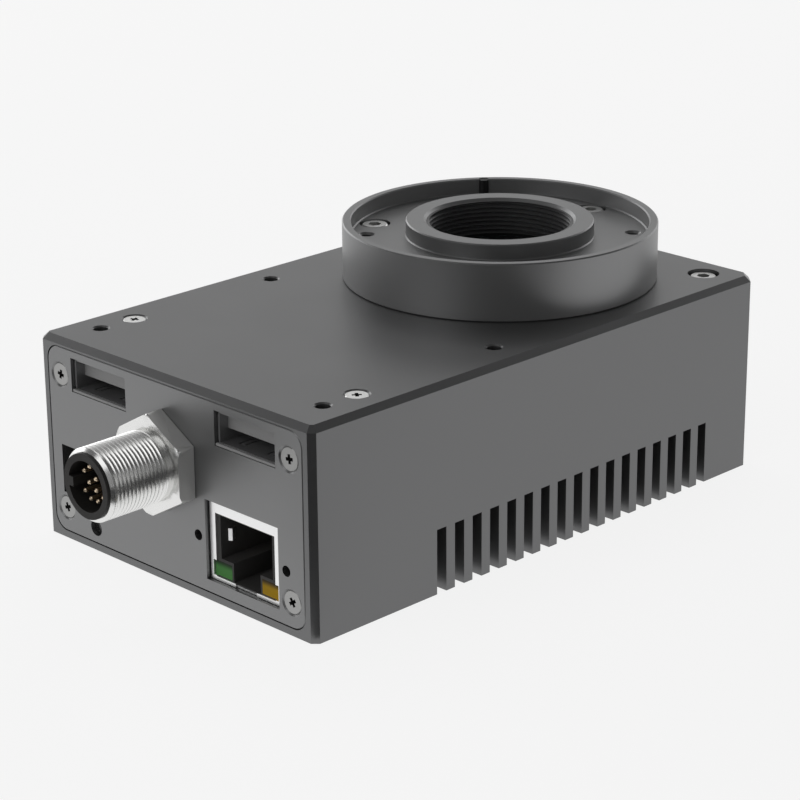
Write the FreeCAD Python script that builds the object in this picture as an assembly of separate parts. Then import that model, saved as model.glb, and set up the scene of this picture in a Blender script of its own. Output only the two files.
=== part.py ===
import FreeCAD, Part
import math
import os
from FreeCAD import Vector

# Machine vision camera, in millimetres.
# Frame: the origin is the middle of the body's base, +X runs to the right along the
# connector face, +Y runs to the rear and +Z is the optical axis, out of the lens mount.

# Body block, milled from one bar of aluminium
body_width = 65.0
body_length = 106.0
body_height = 35.0
top_edge_chamfer = 1.0
front_corner_chamfer = 1.0
rear_corner_chamfer = 2.0
side_wall = 4.0
rear_wall = 3.0
top_wall = 3.0
front_floor = 2.4
front_top_wall = 2.1
shoulder_width = 7.7
shoulder_depth = 6.0

# Cooling slots, cut across the underside
slot_count = 17
slot_pitch = 4.03
slot_width = 2.1
slot_drop = 24.0
first_slot = 27.35
slot_root_wall = 2.0

# Connector panel, let into the front of the body
panel_side_margin = 2.0
panel_bottom_margin = 1.2
panel_top_margin = 1.3
panel_corner_radius = 2.75
panel_thickness = 2.5
panel_edge_chamfer = 0.2
seam_gap = 0.06
gasket_thickness = 0.5
gasket_top_width = 0.7

# Gaps that every piece shares
slide_gap = 0.3
thread_gap = 0.05
seat_gap = 0.1
edge_tolerance = 0.001

# Small cross-recess screws, of the countersunk kind
small_screw_radius = 1.0
small_screw_head = 3.6
small_screw_length = 6.0
small_screw_sink = 0.3
tap_spare = 1.0
short_screw_length = 5.0
countersink_diameter = 4.4
panel_screw_side = 5.1
panel_screw_low = 5.5
panel_screw_high = 6.2
panel_boss_margin = 1.7
panel_boss_length = 9.0

# Tapped holes in the top face
mount_hole_radius = 1.25
mount_hole_depth = 5.0
mount_hole_chamfer = 0.25
mount_hole_side = 6.05
mount_hole_front = 8.05
mount_hole_spacing = 37.55

# Screws that hold the inner frame from above
frame_screw_side = 6.05
frame_screw_front = 15.15
frame_screw_length = 8.0
cap_screw_radius = 1.25
cap_head_diameter = 4.7
cap_head_height = 2.5
cap_bore_diameter = 5.5
cap_head_sink = 0.4
rear_screw_side = 7.0
rear_screw_rear = 6.3
rear_screw_length = 6.0

# Lens mount
lens_axis_rear = 30.8
mount_diameter = 54.5
mount_height = 10.0
mount_rim = 1.55
recess_depth = 2.75
recess_corner = 0.2
nose_diameter = 32.5
mount_edge_chamfer = 0.2
rim_edge_chamfer = 0.2
lens_thread_radius = 12.7
lens_thread_length = 5.75
lens_thread_chamfer = 0.45
filter_radius = 11.4
filter_thickness = 1.0
filter_ring_height = 1.3
aperture_radius = 10.4
spigot_radius = 17.0
spigot_depth = 2.0
mount_seal_inner = 18.0
mount_seal_section = 1.1
mount_screw_circle = 22.7
mount_screw_length = 7.0
mount_screw_first = 87.5
mount_screw_count = 3
mount_head_sink = 0.1
guard_hole_circle = 23.0
guard_hole_radius = 1.0
guard_hole_depth = 4.0
guard_hole_chamfer = 0.4
guard_hole_angles = (45.0, 225.0)
index_pin_radius = 0.9
index_pin_length = 4.0
index_pin_sink = 0.1
index_pin_inset = 1.35
index_pin_angle = 139.5
focal_distance = 17.526

# Image sensor
sensor_width = 16.0
sensor_length = 14.5
sensor_height = 2.0
sensor_frame = 1.6
chip_thickness = 0.47
cover_glass = 0.5
sensor_board_side = 36.0
board_thickness = 1.6
standoff_radius = 2.25
standoff_edge = 2.5
standoff_spigot = 2.0
link_depth = 5.0
link_width = 22.0
link_wall = 0.8

# Inner frame and main board
frame_height = 3.5
frame_rail = 3.4
frame_rear_bar = 4.2
frame_rear_pad = 7.0
frame_mid_bar = 4.0
frame_mid_front = 34.0
board_post_radius = 1.6
board_screw_spare = 2.1
main_board_front = 23.0
main_board_rear = 2.0
board_post_ends = 4.0
spreader_side = 30.0
spreader_height = 3.0
pad_height = 0.8
block_chamfer = 1.0
processor_side = 23.0
processor_height = 1.6
processor_front = 58.0
memory_width = 10.0
memory_length = 12.0
memory_height = 1.2
memory_spacing = 24.0
memory_front = 40.0
coil_side = 6.0
coil_height = 3.0
coil_spacing = 14.0
coil_rear = 12.0

# Sockets share one recess behind the panel and one upright board
socket_recess = 0.7
socket_depth = 17.2
cutout_gap = 0.3
upright_board_low = 2.8
upright_board_high = 3.0
post_radius = 2.0
post_spigot = 1.2
post_low_z = 6.5
post_low_reach = 7.3
post_jack_reach = 5.1
post_high_drop = 5.6
post_port_gap = 0.2
pan_head_height = 1.3

# Round twelve-pin connector
round_x = -1.7
round_drop = 14.2
hex_flats = 15.0
hex_thickness = 3.3
hex_chamfer = 0.5
round_thread_radius = 6.0
round_tip = 15.1
round_tip_chamfer = 0.5
round_neck_radius = 5.8
round_neck_length = 1.1
insert_radius = 5.3
insert_proud = 0.5
insert_bore = 4.15
insert_bore_depth = 8.5
key_width = 1.6
key_height = 1.1
key_root = 0.5
pin_radius = 0.38
outer_pin_circle = 5.6
outer_pin_count = 9
inner_pin_circle = 2.2
inner_pin_count = 3
pin_inset = 1.4
round_rear_length = 7.0
nut_flats = 14.0
nut_thickness = 2.5
round_seal_section = 0.8

# Network jack
jack_side = 16.3
jack_z = 10.1
jack_width = 16.2
jack_height = 13.1
jack_wall = 0.3
jack_face_width = 13.65
jack_face_low = 0.6
jack_low_gap = 0.1
jack_face_high = 1.75
plug_width = 11.9
plug_low = 7.3
plug_high = 14.6
plug_depth = 12.5
latch_width = 6.2
latch_gap_width = 4.9
latch_low = 4.1
led_width = 3.9
led_height = 2.5
led_low = 4.3
led_depth = 10.0
led_offset = 5.45
contact_count = 8
contact_pitch = 1.02
contact_width = 0.4
contact_reach = 8.0
contact_front = 2.5
contact_drop = 3.0
lock_hole_radius = 0.9
lock_hole_spacing = 20.3
lock_hole_z = 10.4

# Two upper port sockets
port_side = 14.95
port_top = 5.55
port_width = 13.75
port_height = 5.8
port_wall = 0.45
port_shell_gap = 0.1
port_block_recess = 2.4
port_block_height = 2.8
port_slot_depth = 9.0
tongue_spacing = 6.4
tongue_width = 1.5
tongue_length = 3.2
tongue_front = 1.6
tongue_slit = 0.3

# Lower port beside the round connector
aux_side = 8.8
aux_z = 12.4
aux_width = 8.4
aux_height = 8.4
aux_lap = 0.3
aux_wall = 0.8
aux_depth = 9.0
aux_pin_radius = 0.4
aux_pin_pitch = 2.5
aux_pin_length = 4.0

# Status lamp
lamp_side = 12.7
lamp_z = 4.0
lamp_radius = 1.4
lamp_recess = 0.8
lamp_chip_side = 2.0
lamp_chip_height = 1.2

# Board link behind the upright board
header_width = 24.0
header_height = 4.0
header_depth = 3.3
receptacle_depth = 5.2

# Places worked out from the sizes above
front = -body_length / 2
rear = body_length / 2
side = body_width / 2
lens_y = rear - lens_axis_rear
mount_top = body_height + mount_height
panel_rear = front + panel_thickness
ledge_y = panel_rear + gasket_thickness
panel_low = panel_bottom_margin
panel_high = body_height - panel_top_margin
cavity_side = side - side_wall
slot_height = body_height - slot_drop
cavity_floor = slot_height + slot_root_wall
cavity_rear = rear - rear_wall
ceiling = body_height - top_wall
front_ceiling = body_height - front_top_wall
front_room_end = front + first_slot - slot_width / 2 - slot_root_wall
shoulder_x = side - shoulder_width
shoulder_z = body_height - shoulder_depth
socket_front = front + socket_recess
board_front = socket_front + socket_depth
board_rear = board_front + board_thickness
frame_top = shoulder_z
frame_low = frame_top - frame_height
frame_side = cavity_side - slide_gap
frame_rear = cavity_rear - slide_gap
frame_front = ledge_y + panel_boss_length + slide_gap
main_board_low = cavity_floor + spreader_height + pad_height + processor_height
main_board_top = main_board_low + board_thickness
main_board_y0 = front + main_board_front
main_board_y1 = cavity_rear - main_board_rear
focal_z = mount_top - focal_distance
sensor_floor = focal_z - chip_thickness
sensor_board_top = sensor_floor - (sensor_height - chip_thickness - cover_glass)
sensor_board_low = sensor_board_top - board_thickness
recess_floor = mount_top - recess_depth
round_z = body_height - round_drop
jack_x = side - jack_side
port_x = side - port_side
aux_x = aux_side - side
lamp_x = lamp_side - side
shank_hole = small_screw_radius + seat_gap
tapped_hole = small_screw_radius + thread_gap


def block(x0, x1, y0, y1, z0, z1):
    return Part.makeBox(x1 - x0, y1 - y0, z1 - z0, Vector(x0, y0, z0))


def upright(radius, z0, z1, x, y):
    return Part.makeCylinder(radius, z1 - z0, Vector(x, y, z0), Vector(0, 0, 1))


def level(radius, y0, y1, x, z):
    return Part.makeCylinder(radius, y1 - y0, Vector(x, y0, z), Vector(0, 1, 0))


def upright_cone(r0, r1, z0, z1, x, y):
    return Part.makeCone(r0, r1, z1 - z0, Vector(x, y, z0), Vector(0, 0, 1))


def level_cone(r0, r1, y0, y1, x, z):
    return Part.makeCone(r0, r1, y1 - y0, Vector(x, y0, z), Vector(0, 1, 0))


def turned(profile, x, y):
    """Revolve a closed radius and height outline about an upright axis."""
    points = [Vector(x + r, y, z) for r, z in profile]
    face = Part.Face(Part.makePolygon(points + points[:1]))
    return face.revolve(Vector(x, y, 0), Vector(0, 0, 1), 360)


def level_turned(profile, x, z):
    """Revolve a closed radius and depth outline about a level axis along Y."""
    points = [Vector(x + r, y, z) for r, y in profile]
    face = Part.Face(Part.makePolygon(points + points[:1]))
    return face.revolve(Vector(x, 0, z), Vector(0, 1, 0), 360)


def hexagon(flats, y0, y1, x, z):
    """A level prism with a corner at the top and flats at both sides."""
    reach = flats / math.sqrt(3)
    points = []
    for turn in range(6):
        angle = math.radians(90 + 60 * turn)
        points.append(Vector(x + reach * math.cos(angle), y0, z + reach * math.sin(angle)))
    face = Part.Face(Part.makePolygon(points + points[:1]))
    return face.extrude(Vector(0, y1 - y0, 0))


def edges_along(shape, direction, test):
    """Straight edges that run one way and whose middle passes the test."""
    found = []
    for edge in shape.Edges:
        if len(edge.Vertexes) != 2:
            continue
        run = edge.Vertexes[1].Point - edge.Vertexes[0].Point
        if run.Length < edge_tolerance or run.cross(direction).Length > edge_tolerance:
            continue
        if test(edge.CenterOfMass):
            found.append(edge)
    return found


def panel_block(gap, y0, y1):
    """The panel's rounded outline, drawn in by a gap on every side."""
    half = side - panel_side_margin - gap
    plate = block(-half, half, y0, y1, panel_low + gap, panel_high - gap)
    corners = edges_along(plate, Vector(0, 1, 0), lambda middle: True)
    return plate.makeFillet(panel_corner_radius, corners)


def panel_screw_places():
    places = []
    for x in (-(side - panel_screw_side), side - panel_screw_side):
        for z in (panel_screw_low, body_height - panel_screw_high):
            places.append((x, z))
    return places


def mount_hole_places():
    places = []
    for x in (-(side - mount_hole_side), side - mount_hole_side):
        for y in (front + mount_hole_front, front + mount_hole_front + mount_hole_spacing):
            places.append((x, y))
    return places


def frame_screw_places():
    x = side - frame_screw_side
    return [(-x, front + frame_screw_front), (x, front + frame_screw_front)]


def rear_screw_places():
    x = side - rear_screw_side
    return [(-x, rear - rear_screw_rear), (x, rear - rear_screw_rear)]


def on_circle(radius, degrees):
    angle = math.radians(degrees)
    return radius * math.cos(angle), lens_y + radius * math.sin(angle)


def mount_screw_places():
    step = 360.0 / mount_screw_count
    return [on_circle(mount_screw_circle, mount_screw_first + step * turn)
            for turn in range(mount_screw_count)]


def inner_room():
    """The space milled out of the body: a tall front room and a long room above the fins."""
    tall = block(-cavity_side, cavity_side, ledge_y - slide_gap, front_room_end,
                 front_floor, shoulder_z)
    tall = tall.fuse(block(-shoulder_x, shoulder_x, ledge_y - slide_gap, front_room_end,
                           shoulder_z, front_ceiling))
    long = block(-cavity_side, cavity_side, front_room_end, cavity_rear,
                 cavity_floor, shoulder_z)
    long = long.fuse(block(-shoulder_x, shoulder_x, front_room_end, cavity_rear,
                           shoulder_z, ceiling))
    room = tall.fuse(long)
    for x, z in panel_screw_places():
        outer = math.copysign(cavity_side, x)
        inner = math.copysign(shoulder_x, x)
        if z < body_height / 2:
            z0, z1 = front_floor, z + panel_boss_margin
        else:
            z0, z1 = z - panel_boss_margin, front_ceiling
        boss = block(min(outer, inner), max(outer, inner), ledge_y - slide_gap,
                     ledge_y + panel_boss_length, z0, z1)
        room = room.cut(boss)
    return room


def cooling_slots():
    slots = []
    for turn in range(slot_count):
        middle = front + first_slot + slot_pitch * turn
        slots.append(block(-side, side, middle - slot_width / 2, middle + slot_width / 2,
                           0, slot_height))
    return slots


def housing():
    body = block(-side, side, front, rear, 0, body_height)
    rear_corners = edges_along(body, Vector(0, 0, 1), lambda middle: middle.y > 0)
    body = body.makeChamfer(rear_corner_chamfer, rear_corners)
    front_corners = edges_along(body, Vector(0, 0, 1), lambda middle: middle.y < front + edge_tolerance)
    body = body.makeChamfer(front_corner_chamfer, front_corners)
    top_edges = [edge for edge in body.Edges
                 if abs(edge.BoundBox.ZMin - body_height) < edge_tolerance]
    body = body.makeChamfer(top_edge_chamfer, top_edges)
    body = body.cut(panel_block(0.0, front, ledge_y))
    body = body.cut(inner_room())
    holes = cooling_slots()
    holes.append(upright(spigot_radius + seat_gap, ceiling, body_height, 0, lens_y))
    for x, z in panel_screw_places():
        holes.append(level(tapped_hole, ledge_y, front + small_screw_length + tap_spare, x, z))
    for x, y in mount_hole_places():
        holes.append(upright(mount_hole_radius, body_height - mount_hole_depth, body_height, x, y))
        holes.append(upright_cone(mount_hole_radius, mount_hole_radius + mount_hole_chamfer,
                                  body_height - mount_hole_chamfer, body_height, x, y))
    for x, y in frame_screw_places():
        holes.append(upright(shank_hole, shoulder_z, body_height, x, y))
        sink = countersink_diameter / 2 - shank_hole
        holes.append(upright_cone(shank_hole, countersink_diameter / 2,
                                  body_height - sink, body_height, x, y))
    for x, y in rear_screw_places():
        holes.append(upright(cap_screw_radius + seat_gap, shoulder_z, body_height, x, y))
        holes.append(upright(cap_bore_diameter / 2, body_height - cap_head_sink - cap_head_height,
                             body_height, x, y))
    for x, y in mount_screw_places():
        holes.append(upright(cap_screw_radius + thread_gap, ceiling, body_height, x, y))
    for x, y in sensor_post_places():
        holes.append(upright(small_screw_radius + 2 * thread_gap, ceiling,
                             ceiling + standoff_spigot + thread_gap, x, y))
    return body.cut(holes)


def countersunk(places, length, level_axis):
    """Countersunk screws as separate solids: a flat head, a cone and a plain shank."""
    screws = []
    head = small_screw_head / 2
    cone = head - small_screw_radius
    for first, second in places:
        profile = [(0, 0), (head, 0), (small_screw_radius, cone), (small_screw_radius, length),
                   (0, length)]
        if level_axis:
            start = front + small_screw_sink
            outline = [(r, start + depth) for r, depth in profile]
            screws.append(level_turned(outline, first, second))
        else:
            start = body_height - small_screw_sink
            outline = [(r, start - depth) for r, depth in profile]
            screws.append(turned(outline, first, second))
    return Part.makeCompound(screws)


def cap_screws(places, head_top, length):
    """Socket cap screws as separate solids, heads uppermost."""
    screws = []
    for x, y in places:
        head_low = head_top - cap_head_height
        outline = [(0, head_top), (cap_head_diameter / 2, head_top),
                   (cap_head_diameter / 2, head_low), (cap_screw_radius, head_low),
                   (cap_screw_radius, head_low - length), (0, head_low - length)]
        screws.append(turned(outline, x, y))
    return Part.makeCompound(screws)


def cutout(width, height, x, z):
    """A straight opening through the panel."""
    return block(x - width / 2, x + width / 2, front, panel_rear, z - height / 2, z + height / 2)


def port_places():
    return {"left": -port_x, "right": port_x}


def lock_hole_places():
    return [jack_x - lock_hole_spacing / 2, jack_x + lock_hole_spacing / 2]


def panel_post_places():
    high = body_height - post_high_drop
    low_right = jack_x - jack_width / 2 - post_jack_reach
    reach = port_x - port_width / 2 - post_radius - post_port_gap
    return [(round_x - post_low_reach, post_low_z), (low_right, post_low_z),
            (-reach, high), (reach, high)]


def connector_panel():
    plate = panel_block(seam_gap, front, panel_rear)
    rim = [edge for edge in plate.Edges if abs(edge.BoundBox.YMax - front) < edge_tolerance]
    plate = plate.makeChamfer(panel_edge_chamfer, rim)
    reach = jack_width / 2 + cutout_gap
    holes = [block(jack_x - reach, jack_x + reach, front, panel_rear,
                   jack_z - jack_height / 2 - jack_low_gap, jack_z + jack_height / 2 + cutout_gap),
             cutout(aux_width, aux_height, aux_x, aux_z),
             level(round_thread_radius + seat_gap, front, panel_rear, round_x, round_z),
             level(lamp_radius, front, panel_rear, lamp_x, lamp_z)]
    for x in port_places().values():
        holes.append(cutout(port_width, port_height, x, body_height - port_top))
    for x in lock_hole_places():
        holes.append(level(lock_hole_radius, front, panel_rear, x, lock_hole_z))
    for x, z in panel_post_places():
        holes.append(level(small_screw_radius + 2 * thread_gap, panel_rear - post_spigot - thread_gap,
                           panel_rear, x, z))
    sink = countersink_diameter / 2 - shank_hole
    for x, z in panel_screw_places():
        holes.append(level(shank_hole, front, panel_rear, x, z))
        holes.append(level_cone(countersink_diameter / 2, shank_hole, front, front + sink, x, z))
    return plate.cut(holes)


def panel_gasket():
    outer = panel_block(seam_gap, panel_rear, ledge_y)
    half = cavity_side + slide_gap
    inner = block(-half, half, panel_rear, ledge_y, front_floor + slide_gap / 2,
                  panel_high - seam_gap - gasket_top_width)
    return outer.cut(inner)


def lens_mount():
    """One turned ring: outer rim, sunk floor, nose with the lens thread, and a spigot below."""
    outer = mount_diameter / 2
    rim_inner = outer - mount_rim
    nose = nose_diameter / 2
    spigot_low = body_height - spigot_depth
    thread_low = mount_top - lens_thread_chamfer - lens_thread_length
    ring_low = thread_low - filter_ring_height
    glass_low = ring_low - filter_thickness
    ring_radius = (lens_thread_radius + filter_radius) / 2
    outline = [(aperture_radius, spigot_low), (spigot_radius, spigot_low),
               (spigot_radius, body_height), (outer - mount_edge_chamfer, body_height),
               (outer, body_height + mount_edge_chamfer), (outer, mount_top - mount_edge_chamfer),
               (outer - mount_edge_chamfer, mount_top), (rim_inner + rim_edge_chamfer, mount_top),
               (rim_inner, mount_top - rim_edge_chamfer),
               (rim_inner, recess_floor + recess_corner), (rim_inner - recess_corner, recess_floor),
               (nose + recess_corner, recess_floor), (nose, recess_floor + recess_corner),
               (nose, mount_top - mount_edge_chamfer),
               (nose - mount_edge_chamfer, mount_top),
               (lens_thread_radius + lens_thread_chamfer, mount_top),
               (lens_thread_radius, mount_top - lens_thread_chamfer),
               (lens_thread_radius, thread_low), (ring_radius, thread_low),
               (ring_radius, ring_low), (filter_radius, ring_low), (filter_radius, glass_low),
               (aperture_radius, glass_low)]
    ring = turned(outline, 0, lens_y)
    cuts = [turned([(mount_seal_inner, body_height),
                    (mount_seal_inner + 2 * mount_seal_section, body_height),
                    (mount_seal_inner + 2 * mount_seal_section, body_height + mount_seal_section),
                    (mount_seal_inner, body_height + mount_seal_section)], 0, lens_y)]
    head_low = recess_floor - mount_head_sink - cap_head_height
    for x, y in mount_screw_places():
        cuts.append(upright(cap_screw_radius + seat_gap, body_height, recess_floor, x, y))
        cuts.append(upright(cap_bore_diameter / 2, head_low, recess_floor, x, y))
    for degrees in guard_hole_angles:
        x, y = on_circle(guard_hole_circle, degrees)
        cuts.append(upright(guard_hole_radius, recess_floor - guard_hole_depth, recess_floor, x, y))
        cuts.append(upright_cone(guard_hole_radius, guard_hole_radius + guard_hole_chamfer,
                                 recess_floor - guard_hole_chamfer, recess_floor, x, y))
    x, y = on_circle(outer - index_pin_inset, index_pin_angle)
    cuts.append(upright(index_pin_radius, mount_top - index_pin_sink - index_pin_length,
                        mount_top, x, y))
    return ring.cut(cuts)


def index_pin():
    x, y = on_circle(mount_diameter / 2 - index_pin_inset, index_pin_angle)
    top = mount_top - index_pin_sink
    return upright(index_pin_radius, top - index_pin_length, top, x, y)


def mount_seal():
    """A square-section ring, as wide as its groove less a gap each side."""
    inner = mount_seal_inner + seat_gap
    outer = mount_seal_inner + 2 * mount_seal_section - seat_gap
    return turned([(inner, body_height), (outer, body_height),
                   (outer, body_height + mount_seal_section),
                   (inner, body_height + mount_seal_section)], 0, lens_y)


def filter_glass():
    thread_low = mount_top - lens_thread_chamfer - lens_thread_length
    low = thread_low - filter_ring_height - filter_thickness
    return upright(filter_radius - thread_gap, low, low + filter_thickness, 0, lens_y)


def filter_ring():
    """The ring that holds the filter down, with a wrench notch at each side."""
    thread_low = mount_top - lens_thread_chamfer - lens_thread_length
    low = thread_low - filter_ring_height
    outer = (lens_thread_radius + filter_radius) / 2 - thread_gap
    ring = upright(outer, low, thread_low, 0, lens_y)
    ring = ring.cut(upright(aperture_radius, low, thread_low, 0, lens_y))
    notch = block(-filter_ring_height / 2, filter_ring_height / 2, lens_y - outer, lens_y + outer,
                  low + filter_ring_height / 2, thread_low)
    return ring.cut(notch)


def sensor_post_places():
    reach = sensor_board_side / 2 - standoff_edge
    return [(x, lens_y + y) for x in (-reach, reach) for y in (-reach, reach)]


def sensor_board():
    half = sensor_board_side / 2
    board = block(-half, half, lens_y - half, lens_y + half, sensor_board_low, sensor_board_top)
    holes = [upright(shank_hole, sensor_board_low, sensor_board_top, x, y)
             for x, y in sensor_post_places()]
    return board.cut(holes)


def sensor_package():
    """A ceramic tray, open at the top, on the sensor board."""
    half_x = sensor_width / 2
    half_y = sensor_length / 2
    top = sensor_board_top + sensor_height - cover_glass
    tray = block(-half_x, half_x, lens_y - half_y, lens_y + half_y, sensor_board_top, top)
    well = block(-half_x + sensor_frame, half_x - sensor_frame,
                 lens_y - half_y + sensor_frame, lens_y + half_y - sensor_frame,
                 sensor_floor, top)
    return tray.cut(well)


def sensor_chip():
    half_x = sensor_width / 2 - sensor_frame - slide_gap
    half_y = sensor_length / 2 - sensor_frame - slide_gap
    return block(-half_x, half_x, lens_y - half_y, lens_y + half_y, sensor_floor, focal_z)


def sensor_glass():
    half_x = sensor_width / 2 - sensor_frame / 2
    half_y = sensor_length / 2 - sensor_frame / 2
    top = sensor_board_top + sensor_height
    return block(-half_x, half_x, lens_y - half_y, lens_y + half_y, top - cover_glass, top)


def sensor_posts():
    """Round spacers from the body's ceiling down to the sensor board."""
    posts = []
    for x, y in sensor_post_places():
        post = upright(standoff_radius, sensor_board_top, ceiling, x, y)
        post = post.fuse(upright(small_screw_radius + thread_gap, ceiling,
                                 ceiling + standoff_spigot, x, y))
        posts.append(post.cut(upright(tapped_hole, sensor_board_top, ceiling - thread_gap, x, y)))
    return Part.makeCompound(posts)


def pan_screws_up(places, seat, length):
    """Pan-head screws driven from below; the seat is the underside that the heads bear on."""
    screws = []
    for x, y in places:
        outline = [(0, seat - pan_head_height), (small_screw_head / 2, seat - pan_head_height),
                   (small_screw_head / 2, seat), (small_screw_radius, seat),
                   (small_screw_radius, seat + length), (0, seat + length)]
        screws.append(turned(outline, x, y))
    return Part.makeCompound(screws)


def pan_screws_level(places, seat, length):
    """Pan-head screws driven forwards from behind the upright board."""
    screws = []
    for x, z in places:
        outline = [(0, seat + pan_head_height), (small_screw_head / 2, seat + pan_head_height),
                   (small_screw_head / 2, seat), (small_screw_radius, seat),
                   (small_screw_radius, seat - length), (0, seat - length)]
        screws.append(level_turned(outline, x, z))
    return Part.makeCompound(screws)


def board_post_places():
    x = frame_side - frame_rail / 2
    y0 = main_board_y0 + board_post_ends
    y1 = main_board_y1 - board_post_ends
    return [(sign * x, y) for sign in (-1, 1) for y in (y0, (y0 + y1) / 2, y1)]


def inner_frame():
    """A ladder frame under the body's shoulders that carries the main board."""
    inner = frame_side - frame_rail
    frame = block(-frame_side, frame_side, frame_front, frame_rear, frame_low, frame_top)
    mid0 = front + frame_mid_front
    mid1 = mid0 + frame_mid_bar
    bar = frame_rear - frame_rear_bar
    frame = frame.cut(block(-inner, inner, frame_front, mid0, frame_low, frame_top))
    frame = frame.cut(block(-inner, inner, mid1, bar, frame_low, frame_top))
    pad = frame_rear - frame_rear_pad
    for sign in (-1, 1):
        x0, x1 = sorted((sign * (frame_side - frame_rear_pad), sign * frame_side))
        frame = frame.fuse(block(x0, x1, pad, frame_rear, frame_low, frame_top))
    holes = [upright(tapped_hole, frame_low, frame_top, x, y) for x, y in frame_screw_places()]
    holes += [upright(cap_screw_radius + thread_gap, frame_low, frame_top, x, y)
              for x, y in rear_screw_places()]
    return frame.cut(holes).removeSplitter()


def main_board():
    board = block(-frame_side, frame_side, main_board_y0, main_board_y1,
                  main_board_low, main_board_top)
    holes = [upright(shank_hole, main_board_low, main_board_top, x, y)
             for x, y in board_post_places()]
    return board.cut(holes)


def board_posts():
    posts = []
    for x, y in board_post_places():
        post = upright(board_post_radius, main_board_top, frame_low, x, y)
        posts.append(post.cut(upright(tapped_hole, main_board_top, frame_low, x, y)))
    return Part.makeCompound(posts)


def plate_at(width, length, middle_y, z0, z1, x=0.0):
    return block(x - width / 2, x + width / 2, middle_y - length / 2, middle_y + length / 2, z0, z1)


def heat_spreader():
    spreader = plate_at(spreader_side, spreader_side, front + processor_front,
                        cavity_floor, cavity_floor + spreader_height)
    corners = edges_along(spreader, Vector(0, 0, 1), lambda middle: True)
    return spreader.makeChamfer(block_chamfer, corners)


def thermal_pad():
    pad = processor_side - 2 * slide_gap
    return plate_at(pad, pad, front + processor_front,
                    cavity_floor + spreader_height, main_board_low - processor_height)


def processor():
    return plate_at(processor_side, processor_side, front + processor_front,
                    main_board_low - processor_height, main_board_low)


def memory_chips():
    chips = [plate_at(memory_width, memory_length, front + memory_front, main_board_top,
                      main_board_top + memory_height, sign * memory_spacing / 2)
             for sign in (-1, 1)]
    return Part.makeCompound(chips)


def power_coils():
    coils = []
    for turn in (-1, 0, 1):
        coil = plate_at(coil_side, coil_side, rear - coil_rear, main_board_top,
                        main_board_top + coil_height, turn * coil_spacing)
        corners = edges_along(coil, Vector(0, 0, 1), lambda middle: True)
        coils.append(coil.makeChamfer(block_chamfer, corners))
    return Part.makeCompound(coils)


def link_z():
    return (sensor_board_low + main_board_top) / 2


def sensor_plug():
    return plate_at(link_width, link_depth, lens_y, link_z(), sensor_board_low)


def sensor_receptacle():
    return plate_at(link_width + 2 * link_wall, link_depth + 2 * link_wall, lens_y,
                    main_board_top, link_z())


def upright_board():
    """The board that carries every socket; its top corners clear the inner frame."""
    high = frame_low - 2 * slide_gap
    low = panel_screw_low + panel_boss_margin + slide_gap
    half = shoulder_x - slide_gap
    wide = cavity_side - slide_gap
    board = block(-half, half, board_front, board_rear, upright_board_low,
                  body_height - upright_board_high)
    board = board.fuse(block(-wide, wide, board_front, board_rear, low, high))
    holes = [level(shank_hole, board_front, board_rear, x, z) for x, z in panel_post_places()]
    return board.removeSplitter().cut(holes)


def panel_posts():
    posts = []
    for x, z in panel_post_places():
        post = level(post_radius, panel_rear, board_front, x, z)
        post = post.fuse(level(small_screw_radius + thread_gap, panel_rear - post_spigot,
                               panel_rear, x, z))
        posts.append(post.cut(level(tapped_hole, panel_rear + thread_gap, board_front, x, z)))
    return Part.makeCompound(posts)


def board_header():
    return block(-header_width / 2, header_width / 2, board_rear, board_rear + header_depth,
                 main_board_top, main_board_top + header_height)


def board_receptacle():
    y0 = board_rear + header_depth
    return block(-header_width / 2, header_width / 2, y0, y0 + receptacle_depth,
                 main_board_top, main_board_top + header_height)


def round_shell():
    """Plated shell: a hexagon against the panel, a threaded barrel in front and behind."""
    hex_front = front - hex_thickness
    tip = front - round_tip
    end = panel_rear + round_rear_length
    bore = insert_radius
    neck = hex_front - round_neck_length
    shell = hexagon(hex_flats, hex_front, front, round_x, round_z)
    limit = hex_flats / math.sqrt(3)
    slope = level_turned([(0, hex_front), (limit - hex_chamfer, hex_front),
                          (limit, hex_front + hex_chamfer), (limit, front), (0, front)],
                         round_x, round_z)
    shell = shell.common(slope)
    barrel = level_turned([(0, tip), (round_thread_radius - round_tip_chamfer, tip),
                           (round_thread_radius, tip + round_tip_chamfer),
                           (round_thread_radius, neck), (round_neck_radius, neck + round_tip_chamfer),
                           (round_neck_radius, hex_front), (round_thread_radius, front),
                           (round_thread_radius, end), (0, end)], round_x, round_z)
    shell = shell.fuse(barrel).removeSplitter()
    groove = level(seal_outer_radius() + thread_gap, front - round_seal_section, front,
                   round_x, round_z)
    groove = groove.cut(level(round_thread_radius, front - round_seal_section, front,
                              round_x, round_z))
    return shell.cut([level(bore, tip, end, round_x, round_z), groove])


def round_insert():
    """Moulded insert: an open cup with a coding key, closed behind around the pins."""
    face = front - round_tip - insert_proud
    end = panel_rear + round_rear_length
    body = level(insert_radius, face, end, round_x, round_z)
    body = body.cut(level(insert_bore, face, face + insert_bore_depth, round_x, round_z))
    key = block(round_x - insert_bore - key_root, round_x - insert_bore + key_height, face,
                face + insert_bore_depth, round_z - key_width / 2, round_z + key_width / 2)
    body = body.fuse(key).removeSplitter()
    holes = [level(pin_radius, face + insert_bore_depth, end, x, z) for x, z in pin_places()]
    return body.cut(holes)


def pin_places():
    """An inner ring of pins, and an outer ring that leaves the key's place empty."""
    places = []
    for circle, steps, first in ((inner_pin_circle, inner_pin_count, 0),
                                 (outer_pin_circle, outer_pin_count + 1, 1)):
        for turn in range(first, steps):
            angle = math.radians(180.0 + 360.0 * turn / steps)
            places.append((round_x + circle / 2 * math.cos(angle),
                           round_z + circle / 2 * math.sin(angle)))
    return places


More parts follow.
